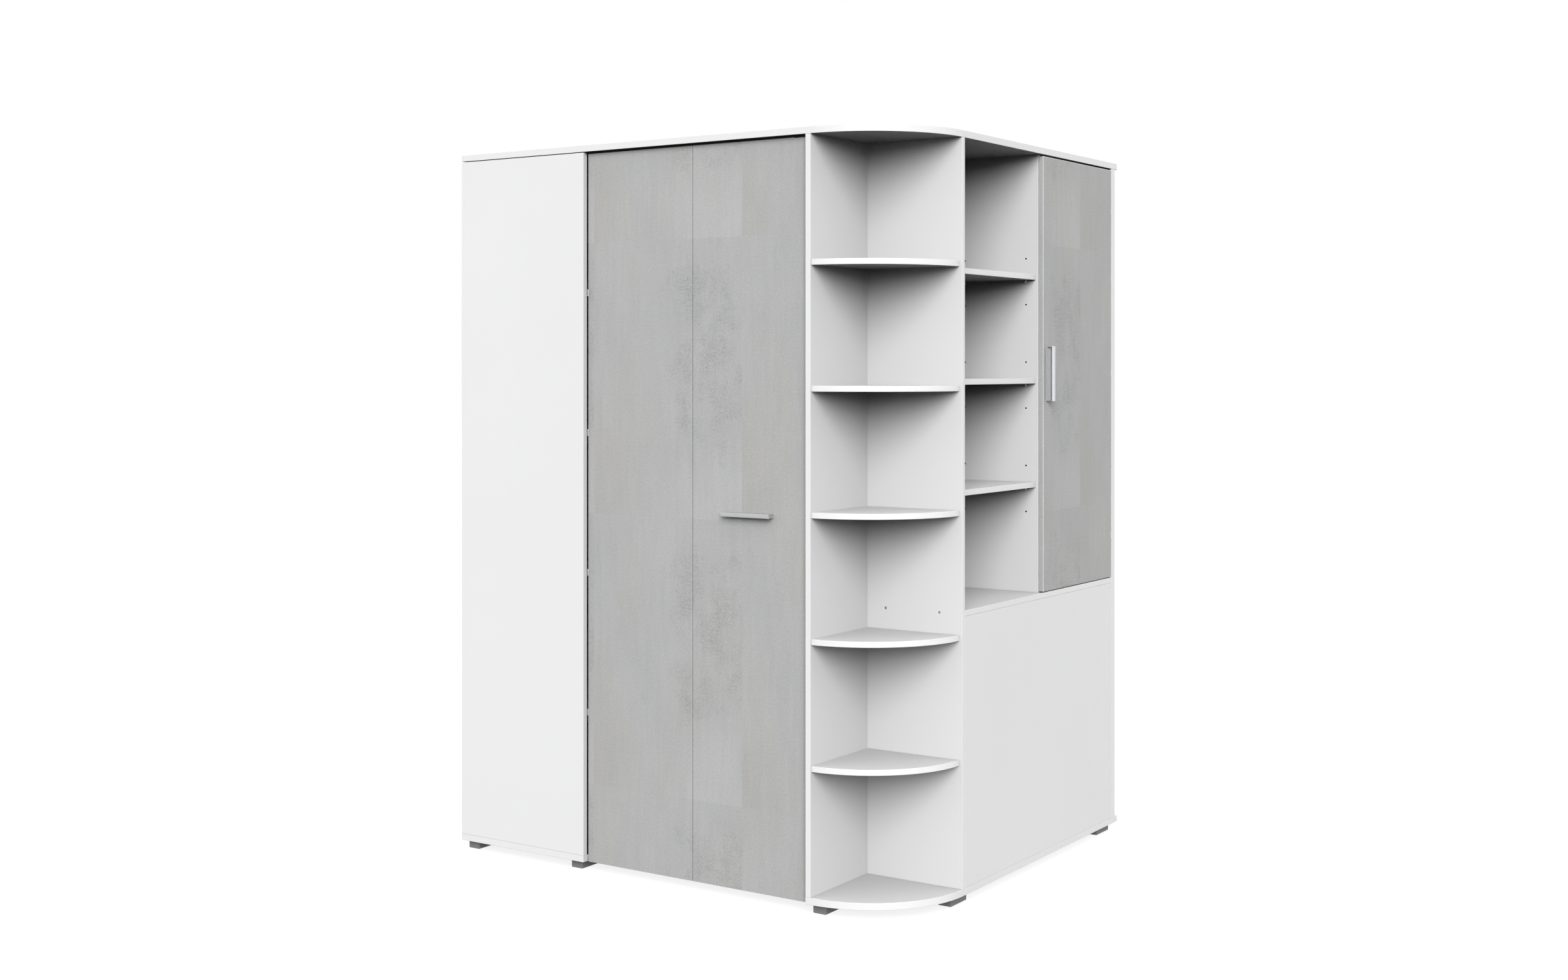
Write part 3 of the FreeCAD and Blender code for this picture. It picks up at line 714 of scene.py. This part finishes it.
def paint_gap_shade(stile):
    """Cut the stile's door side STRIP_WIDTH behind its front and paint what lies before black, as painted shade.
    """
    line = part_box("hinge_stile")[0].y + STRIP_WIDTH
    bm = bmesh.new()
    bm.from_mesh(stile.data)
    everything = bm.verts[:] + bm.edges[:] + bm.faces[:]
    bmesh.ops.bisect_plane(bm, geom=everything, plane_co=(0, line, 0), plane_no=(0, 1, 0))
    bm.normal_update()
    door_side = [f for f in bm.faces if f.normal.x > FACING and f.material_index != HOLE_WALL]
    strip = [f for f in door_side if f.calc_center_median().y < line]
    for f in strip:
        # Painted shade: these faces turn black to darken the gap.
        f.material_index = PAINTED_SHADE_STRIP
    bm.to_mesh(stile.data)
    bm.free()
    print("black strip beside the gap:", len(strip), "faces")


for name, cutter in sorted(holes.items()):
    upright = board(name, WHITE + [black_lacquer_and_painted_shade], cutter)
    if name == "hinge_stile":
        paint_gap_shade(upright)

# %% [markdown]
# ## Backs
# The backs are thin hardboard, white towards the clothes and bare brown fibre
# towards the wall. A plane could do from the front, but from behind and above
# the sheet's thickness shows. The bare side is picked by the direction that it
# looks.

# %% Hardboard backs
HARDBOARD_ARRIS, TOWARDS = 0.3 * MM, 0.5
bare_sides = {"left_back": Vector((-1, 0, 0)), "rear_back": Vector((0, 1, 0)), "cabinet_back": None}
for name, outward in bare_sides.items():
    low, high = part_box(name)
    bm = block(low, high, HARDBOARD_ARRIS)
    bm.normal_update()
    for f in bm.faces:
        f.material_index = 1 if outward is not None and f.normal.dot(outward) > TOWARDS else 0
    piece(name + "_sheet", bm, [lacquered, bare_hardboard], [name])

# %% [markdown]
# ## Plates and shelves with a quarter round
# The top and the right base end in a quarter circle at the free corner. A face
# starts as a rectangle, the corner vertex is bevelled into an arc, and the face
# is extruded to a plate. The niche shelves are quarter discs: a narrow upright
# rectangle is spun a quarter turn about the inner corner. Both could be cut from
# a block with a bar, but an arc that is made first leaves clean, even faces. The
# band that is bent round the shelves is a plastic strip, painted a little lighter
# than the flat bands as a painted highlight on the round rims.

# %% Rounded plates
CORNER_SEGMENTS = 48


def raise_face(bm, height):
    """Extrude the flat faces of a bmesh upwards to a closed solid."""
    raised = bmesh.ops.extrude_face_region(bm, geom=bm.faces[:])["geom"]
    bmesh.ops.translate(bm, vec=(0, 0, height), verts=[g for g in raised if isinstance(g, bmesh.types.BMVert)])
    bmesh.ops.recalc_face_normals(bm, faces=bm.faces)


def rounded_plate(name, radius):
    """A plate whose front right corner is a quarter round."""
    low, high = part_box(name)
    bm = bmesh.new()
    corners = [(low.x, low.y), (high.x, low.y), (high.x, high.y), (low.x, high.y)]
    verts = [bm.verts.new((x, y, low.z)) for x, y in corners]
    bm.faces.new(verts)
    bmesh.ops.bevel(bm, geom=[verts[1]], offset=radius, segments=CORNER_SEGMENTS, profile=0.5,
                    affect="VERTICES", material=-1)
    raise_face(bm, high.z - low.z)
    rims = [e for e in bm.edges if abs(e.verts[0].co.z - e.verts[1].co.z) < MM]
    bmesh.ops.bevel(bm, geom=rims, offset=ARRIS, segments=ARRIS_SEGMENTS, **BEVEL)
    return piece(name + "_plate", band_edges(bm, 2), WHITE[:2], [name])


corner_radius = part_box("right_base")[1].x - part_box("niche_post")[1].x
for name in ("top_panel", "right_base"):
    rounded_plate(name, corner_radius)
print("corner radius:", round(corner_radius / MM, 1), "mm")

# %% Quarter-round niche shelves
QUARTER_SEGMENTS, NICHE_SHELVES = 40, 5
RIM_ANGLE = math.radians(60)


def quarter_shelf(name):
    """A quarter disc in the niche, with a softened front rim."""
    low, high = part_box(name)
    centre = Vector((low.x, high.y, 0))
    radius = high.x - low.x
    bm = bmesh.new()
    section = [(0, low.z), (radius, low.z), (radius, high.z), (0, high.z)]
    verts = [bm.verts.new((centre.x + r, centre.y, z)) for r, z in section]
    edges = [bm.edges.new((verts[i], verts[i + 1])) for i in range(3)]
    bmesh.ops.spin(bm, geom=verts + edges, cent=centre, axis=(0, 0, 1), angle=-math.pi / 2,
                   steps=QUARTER_SEGMENTS, use_merge=False, use_duplicate=False)
    bmesh.ops.remove_doubles(bm, verts=bm.verts, dist=1e-6)
    bmesh.ops.holes_fill(bm, edges=bm.edges, sides=0)
    bmesh.ops.recalc_face_normals(bm, faces=bm.faces)
    rims = [e for e in bm.edges if e.is_manifold and e.calc_face_angle(0) > RIM_ANGLE
            and max((v.co.xy - centre.xy).length for v in e.verts) > radius - MM]
    bmesh.ops.bevel(bm, geom=rims, offset=ARRIS, segments=ARRIS_SEGMENTS, **BEVEL)
    return piece(name + "_quarter", band_edges(bm, 2), [white_board, rim_band_highlight], [name])


for index in range(NICHE_SHELVES):
    quarter_shelf("corner_shelf_%d" % (index + 1))

# %% [markdown]
# ## Doors
# The two leaves of the folding door and the cabinet door are boards in the
# concrete-look print, with a slightly paler band of the same print on their
# edges. On the cabinet door the arris is rounded wider and painted light grey,
# a painted highlight that shows as a thin bright line down its free edge.

# %% Leaves and cabinet door
DOOR_ARRIS, WIDE_DOOR_ARRIS = 0.6 * MM, 1.1 * MM
HIGHLIGHT_BAND, SLOPE_FROM, SLOPE_TO = 2, 0.2, 0.98
leaf_beds = row_of(lambda: edge_plate(1, CUT_OVERRUN), leaf_axes)
door_beds = row_of(lambda: edge_plate(-1, CUT_OVERRUN), door_axes, DOOR_TURN)
guide_low, guide_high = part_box("guide_plate")
guide_bed = block(guide_low, guide_high + Vector((0, 0, CUT_OVERRUN)))
for name, bed in (("left_leaf", leaf_beds), ("right_leaf", guide_bed), ("cabinet_door", door_beds)):
    axis, low, high = thin_axis(name)
    highlighted = name == "cabinet_door"
    door = band_edges(block(low, high, WIDE_DOOR_ARRIS if highlighted else DOOR_ARRIS), axis)
    # The cabinet door's arris faces take the painted highlight.
    for f in door.faces:
        if highlighted and SLOPE_FROM < abs(f.normal.x) < SLOPE_TO:
            f.material_index = HIGHLIGHT_BAND
    piece(name + "_door", carve(door, bed), [concrete_look, concrete_band, painted_highlight_band], [name])

# %% [markdown]
# ## Overhead guide
# The right leaf hangs its pin in a black track under the top plate. A thin black
# flange of painted shade reaches forward from the track over the plate's
# underside, so from below a dark line parts plate and leaves. A cast shadow
# alone would come and go with the light; this painted shade stays.

# %% Track, plate and pin of the guide, and a flange of painted shade
SHADE_FLANGE_THICK, SHADE_FLANGE_SETBACK, SHADE_FLANGE_ARRIS = 0.3 * MM, 1.0 * MM, 0.1 * MM
GUIDE_ARRIS, STUD_ARRIS = 0.2 * MM, 0.4 * MM
guide = bmesh.new()
for low, high in solid_boxes("guide_track"):
    join(guide, block(low, high, GUIDE_ARRIS))
track_low, track_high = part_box("guide_track")
# The flange is painted shade: a black sheet where the plate's underside lies in shade.
plate_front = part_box("top_panel")[0].y + SHADE_FLANGE_SETBACK
shade_flange_low = (track_low.x, plate_front, track_high.z - SHADE_FLANGE_THICK)
shade_flange_high = (track_high.x, track_low.y + MM, track_high.z)
join(guide, block(shade_flange_low, shade_flange_high, SHADE_FLANGE_ARRIS))
piece("guide_strips", guide, [black_lacquer_and_painted_shade], ["guide_track"])
piece("guide_plate_flush", block(guide_low, guide_high, GUIDE_ARRIS), [blackened], ["guide_plate"])
pin_low, pin_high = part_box("guide_pin")
pin_middle = (pin_low + pin_high) / 2
stud = bar((pin_high.x - pin_low.x) / 2, (pin_middle.x, pin_middle.y, pin_low.z), (0, 0, 1),
           pin_high.z - pin_low.z, STUD_ARRIS)
piece("guide_stud", stud, [blackened], ["guide_pin"])

# %% [markdown]
# ## Handles
# Both handles are one satin aluminium channel: a foot on the door, a web and a
# lip that bows in towards its free edge. It lies on the folding door with its
# open side down, and stands on the cabinet door with its open side to the left.
# A curve with a profile could be swept, but the ends and arrises are easier on a
# solid: a face of nine points is extruded along the handle, and bevels make the
# bow, the rounds and the arrises. Small grey caps close the ends. The inside has
# a darker aluminium of its own, painted shade. The lying handle's aluminium is a
# darker copy, painted shade, and the standing handle's a lighter one, painted
# highlight.

# %% Channel profile
HANDLE_WALL, HANDLE_PROUD, HANDLE_WIDTH, HANDLE_LENGTH = 2.5 * MM, 22 * MM, 12 * MM, 152 * MM
LIP_DROP, INNER_DROP, LIP_CREST = 2.2 * MM, 1.76 * MM, 7.0 * MM
CAP_THICK, CAP_INSET, CAP_ARRIS = 1.5 * MM, 0.4 * MM, 0.2 * MM
BOW, CORNER_ROUND, LIP_ROUND, HANDLE_ARRIS = 4.5 * MM, 1.0 * MM, 1.8 * MM, 0.35 * MM
BOW_SEGMENTS, CORNER_STEPS, SHARP_EDGE = 8, 4, math.radians(40)
CAP_FINISH, INSIDE_SHADE_FINISH = 1, 2


def channel():
    """The channel at the origin: X out of the door, Y across, Z along."""
    bm = bmesh.new()
    lip, web = HANDLE_PROUD - HANDLE_WALL, HANDLE_WIDTH - HANDLE_WALL
    free_inside, free_outside = (lip - INNER_DROP, 0), (HANDLE_PROUD - LIP_DROP, 0)
    crest, corner = (HANDLE_PROUD, LIP_CREST), (HANDLE_PROUD, HANDLE_WIDTH)
    outline = [(0, 0), (HANDLE_WALL, 0), (HANDLE_WALL, web), (lip, web), free_inside, free_outside,
               crest, corner, (0, HANDLE_WIDTH)]
    bm.faces.new([bm.verts.new((x, y, 0)) for x, y in outline])
    raise_face(bm, HANDLE_LENGTH)

    def round_off(point, offset, segments):
        lines = [e for e in bm.edges if all((v.co.xy - Vector(point)).length < 1e-6 for v in e.verts)]
        bmesh.ops.bevel(bm, geom=lines, offset=offset, segments=segments, **BEVEL)

    round_off(crest, BOW, BOW_SEGMENTS)
    round_off(corner, CORNER_ROUND, CORNER_STEPS)
    round_off(free_outside, LIP_ROUND, BOW_SEGMENTS)
    sharp = [e for e in bm.edges if e.calc_face_angle(0) > SHARP_EDGE]
    bmesh.ops.bevel(bm, geom=sharp, offset=HANDLE_ARRIS, segments=ARRIS_SEGMENTS, **BEVEL)
    # Faces inside the channel take the darker aluminium, painted shade.
    for f in bm.faces:
        middle = f.calc_center_median()
        from_door_or_lip = f.normal.x if middle.x < lip / 2 else -f.normal.x
        from_web = -f.normal.y if middle.y > web / 2 else 0
        if max(from_door_or_lip, from_web) > FACING:
            f.material_index = INSIDE_SHADE_FINISH
    cap_low, cap_high = (HANDLE_WALL / 2, LIP_DROP), (lip + HANDLE_WALL / 3, web + HANDLE_WALL / 2)
    for start in (CAP_INSET, HANDLE_LENGTH - CAP_INSET - CAP_THICK):
        cap = block((*cap_low, start), (*cap_high, start + CAP_THICK), CAP_ARRIS)
        join(bm, painted(cap, CAP_FINISH))
    return bm


print("handle:", round(HANDLE_LENGTH / MM), "mm long,", round(HANDLE_PROUD / MM), "mm proud")


# %% Channel handles
def axes_matrix(origin, out, across, along):
    """A matrix whose columns are the handle's own axes."""
    turn = Matrix((out, across, along)).transposed().to_4x4()
    return Matrix.Translation(origin) @ turn


low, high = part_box("leaf_handle")
lying = axes_matrix((high.x, high.y, low.z), (0, -1, 0), (0, 0, 1), (-1, 0, 0))
low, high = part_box("cabinet_handle")
standing = axes_matrix(low, (1, 0, 0), (0, 1, 0), (0, 0, 1))
for name, matrix, brushed in (("leaf_handle", lying, aluminium_lying_shaded),
                              ("cabinet_handle", standing, aluminium_standing_lit)):
    shape = join(bmesh.new(), channel(), matrix)
    bmesh.ops.recalc_face_normals(shape, faces=shape.faces)
    handle = piece(name + "_channel", shape, [brushed, grey_plastic, aluminium_inside_painted_shade], [name])
    handle.modifiers.new("weighted", "WEIGHTED_NORMAL").keep_sharp = True

# %% [markdown]
# ## Feet and clothes rail
# The feet are dark plastic blocks under the base plates. The rail is a chrome
# tube in two flanged sockets, inside the left wing. A solid bar would look the
# same from the front, but the tube's open ends sit in real cups, so tube and
# sockets are bored with the Boolean.

# %% Feet
FOOT_ARRIS, FOOT_SEGMENTS = 2.5 * MM, 3
for wing in ("left", "right"):
    feet = bmesh.new()
    for low, high in solid_boxes(wing + "_feet"):
        join(feet, block(low, high, FOOT_ARRIS, FOOT_SEGMENTS))
    piece(wing + "_foot_blocks", feet, [dark_plastic], [wing + "_feet"])

# %% Clothes rail
RAIL_WALL, TUBE_SIDES = 1.2 * MM, 48
rail_low, rail_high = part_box("clothes_rail")
rail_middle = (rail_low + rail_high) / 2
rail_radius = (rail_high.x - rail_low.x) / 2
rail_length = rail_high.y - rail_low.y
tube = bar(rail_radius, (rail_middle.x, rail_low.y, rail_middle.z), (0, 1, 0), rail_length, sides=TUBE_SIDES)
bore = bar(rail_radius - RAIL_WALL, (rail_middle.x, rail_low.y - CUT_OVERRUN, rail_middle.z), (0, 1, 0),
           rail_length + 2 * CUT_OVERRUN, sides=TUBE_SIDES)
piece("clothes_tube", carve(tube, bore), [chrome], ["clothes_rail"])

# %% Rail sockets
SOCKET_FLANGE, SOCKET_REACH, SOCKET_CUP, SOCKET_RIM = 3.0 * MM, 14.0 * MM, 16.55 * MM, 25.55 * MM
CUP_ARRIS, RIM_ARRIS = 0.6 * MM, 1.0 * MM
TUBE_PLAY, RIM_OVERLAP = 0.05 * MM, 0.2 * MM
sockets = bmesh.new()
for (low, high), side in zip(sorted(solid_boxes("rail_sockets"), key=lambda pair: pair[0].y), (1, -1)):
    start = Vector((rail_middle.x, low.y if side > 0 else high.y, rail_middle.z))
    aim = Vector((0, side, 0))
    cup = bar(SOCKET_CUP, start, aim, SOCKET_REACH, CUP_ARRIS, TUBE_SIDES)
    mouth = bar(rail_radius + TUBE_PLAY, start + aim * SOCKET_FLANGE, aim, SOCKET_REACH, sides=TUBE_SIDES)
    join(sockets, carve(cup, mouth))
    rim = bar(SOCKET_RIM, start, aim, SOCKET_FLANGE, RIM_ARRIS, TUBE_SIDES)
    inside = bar(SOCKET_CUP - RIM_OVERLAP, start - aim * CUT_OVERRUN, aim, SOCKET_FLANGE + 2 * CUT_OVERRUN,
                 sides=TUBE_SIDES)
    join(sockets, carve(rim, inside))
piece("rail_cups", sockets, [chrome], ["rail_sockets"])
left_over = sorted(n for n, o in frame["nodes"].items() if not o.hide_render)
print("pieces:", len(made), "CAD nodes still shown:", left_over)

# %% [markdown]
# ## Floor and light
# The picture is a white studio with very soft shadows. The floor is a plain pale
# plane: to the camera and in reflections it adds light of its own up to white,
# and its own shading under that keeps the wardrobe's soft shadow. An even white
# sky lights every side, and one wide soft key light looks in from the camera's
# side and leaves the dark wedges under the shelves. More lamps could lift one
# face or another, but then the shelf edges and the niche lose their contrast. A
# low light behind is only for the two wall sides, which the picture doesn't show.
# The wedges are deep in the picture, because its light comes straight from the
# lamp and the sky and isn't handed on from board to board. So no light bounces
# between matt faces here: their own colours are then lit evenly, about as written.

# %% Floor
FLOOR_SIZE, FLOOR_SHADE, FLOOR_GLOW = 60.0, 0.25, 0.85


def seen_directly(tree):
    """One for rays of the camera, of reflections and through glass, else nought."""
    rays = node(tree, "ShaderNodeLightPath").outputs
    mirror = node(tree, "ShaderNodeMath", [(0, rays["Is Camera Ray"]), (1, rays["Is Glossy Ray"])],
                  operation="MAXIMUM").outputs["Value"]
    both = node(tree, "ShaderNodeMath", [(0, mirror), (1, rays["Is Transmission Ray"])], operation="MAXIMUM")
    return both.outputs["Value"]


floor_bm = bmesh.new()
bmesh.ops.create_grid(floor_bm, x_segments=1, y_segments=1, size=FLOOR_SIZE / 2)
floor_mesh = bpy.data.meshes.new("floor")
floor_bm.to_mesh(floor_mesh)
floor_bm.free()
floor = bpy.data.objects.new("floor", floor_mesh)
bpy.context.scene.collection.objects.link(floor)
paint, tree, shader = new_finish("studio_floor")
shader.inputs["Base Color"].default_value = (FLOOR_SHADE, FLOOR_SHADE, FLOOR_SHADE, 1)
shader.inputs["Roughness"].default_value = 0.9
shader.inputs["Specular IOR Level"].default_value = 0.0
glow = node(tree, "ShaderNodeMath", [(0, seen_directly(tree))], operation="MULTIPLY")
glow.inputs[1].default_value = FLOOR_GLOW
light = node(tree, "ShaderNodeEmission", [("Strength", glow.outputs["Value"])], Color=(1, 1, 1, 1))
surface = node(tree, "ShaderNodeAddShader", [(0, shader.outputs["BSDF"]), (1, light.outputs["Emission"])])
tree.links.new(surface.outputs["Shader"], tree.nodes["Material Output"].inputs["Surface"])
floor_mesh.materials.append(paint)
print("floor:", FLOOR_SIZE, "m square")

# %% World
WORLD_FILL = 0.785
MATT_BOUNCES = 0
scene = bpy.context.scene
scene.cycles.diffuse_bounces = MATT_BOUNCES
world = bpy.data.worlds.new("studio")
scene.world = world
world.use_nodes = True
tree = world.node_tree
fill = span(tree, seen_directly(tree), WORLD_FILL, 1.0, 0, 1)
background = tree.nodes["Background"]
background.inputs["Color"].default_value = (1, 1, 1, 1)
tree.links.new(fill, background.inputs["Strength"])
print("sky:", WORLD_FILL)

# %% Lights
LIGHT_DISTANCE = 6.0


def wide_light(name, azimuth, elevation, spread, level, mirrored):
    """A far, soft light; azimuth 0 is -Y and 90 is +X; level 1 lights white to its own colour."""
    turn, lift = math.radians(azimuth), math.radians(elevation)
    out = Vector((math.sin(turn) * math.cos(lift), -math.cos(turn) * math.cos(lift), math.sin(lift)))
    data = bpy.data.lights.new(name, "SUN")
    data.energy, data.angle = level * math.pi, math.radians(spread)
    obj = bpy.data.objects.new(name, data)
    obj.location = out * LIGHT_DISTANCE
    obj.visible_glossy = mirrored
    obj.rotation_euler = (-out).to_track_quat("-Z", "Y").to_euler()
    scene.collection.objects.link(obj)
    return obj


lights = [wide_light("key_light", azimuth=37, elevation=25, spread=42, level=0.905, mirrored=True),
          wide_light("back_light", azimuth=225, elevation=3, spread=30, level=0.55, mirrored=False)]
print("lights:", [(o.name, round(o.data.energy, 2)) for o in lights])

# %% [markdown]
# ## Camera
# In the picture all upright edges are parallel. A tilted camera would make them
# lean together, so the camera looks level, and a small shift of its frame brings
# the wardrobe up to its place. Lens, place and turn come from the picture's two
# vanishing points and the wardrobe's known corners.

# %% Camera
camera_data = bpy.data.cameras.new("camera")
camera_data.sensor_fit, camera_data.sensor_width = "HORIZONTAL", 36.0
camera_data.lens = 43.30
camera_data.shift_y = -0.0776
camera_data.clip_end = 100.0
camera = bpy.data.objects.new("camera", camera_data)
camera.location = (3.0285, -4.6170, 1.3790)
camera.rotation_euler = (math.radians(90), 0, math.radians(33.697))
scene.collection.objects.link(camera)
scene.camera = camera
scene.view_settings.view_transform = "Standard"
print("camera:", camera_data.lens, "mm lens at", [round(c, 2) for c in camera.location])
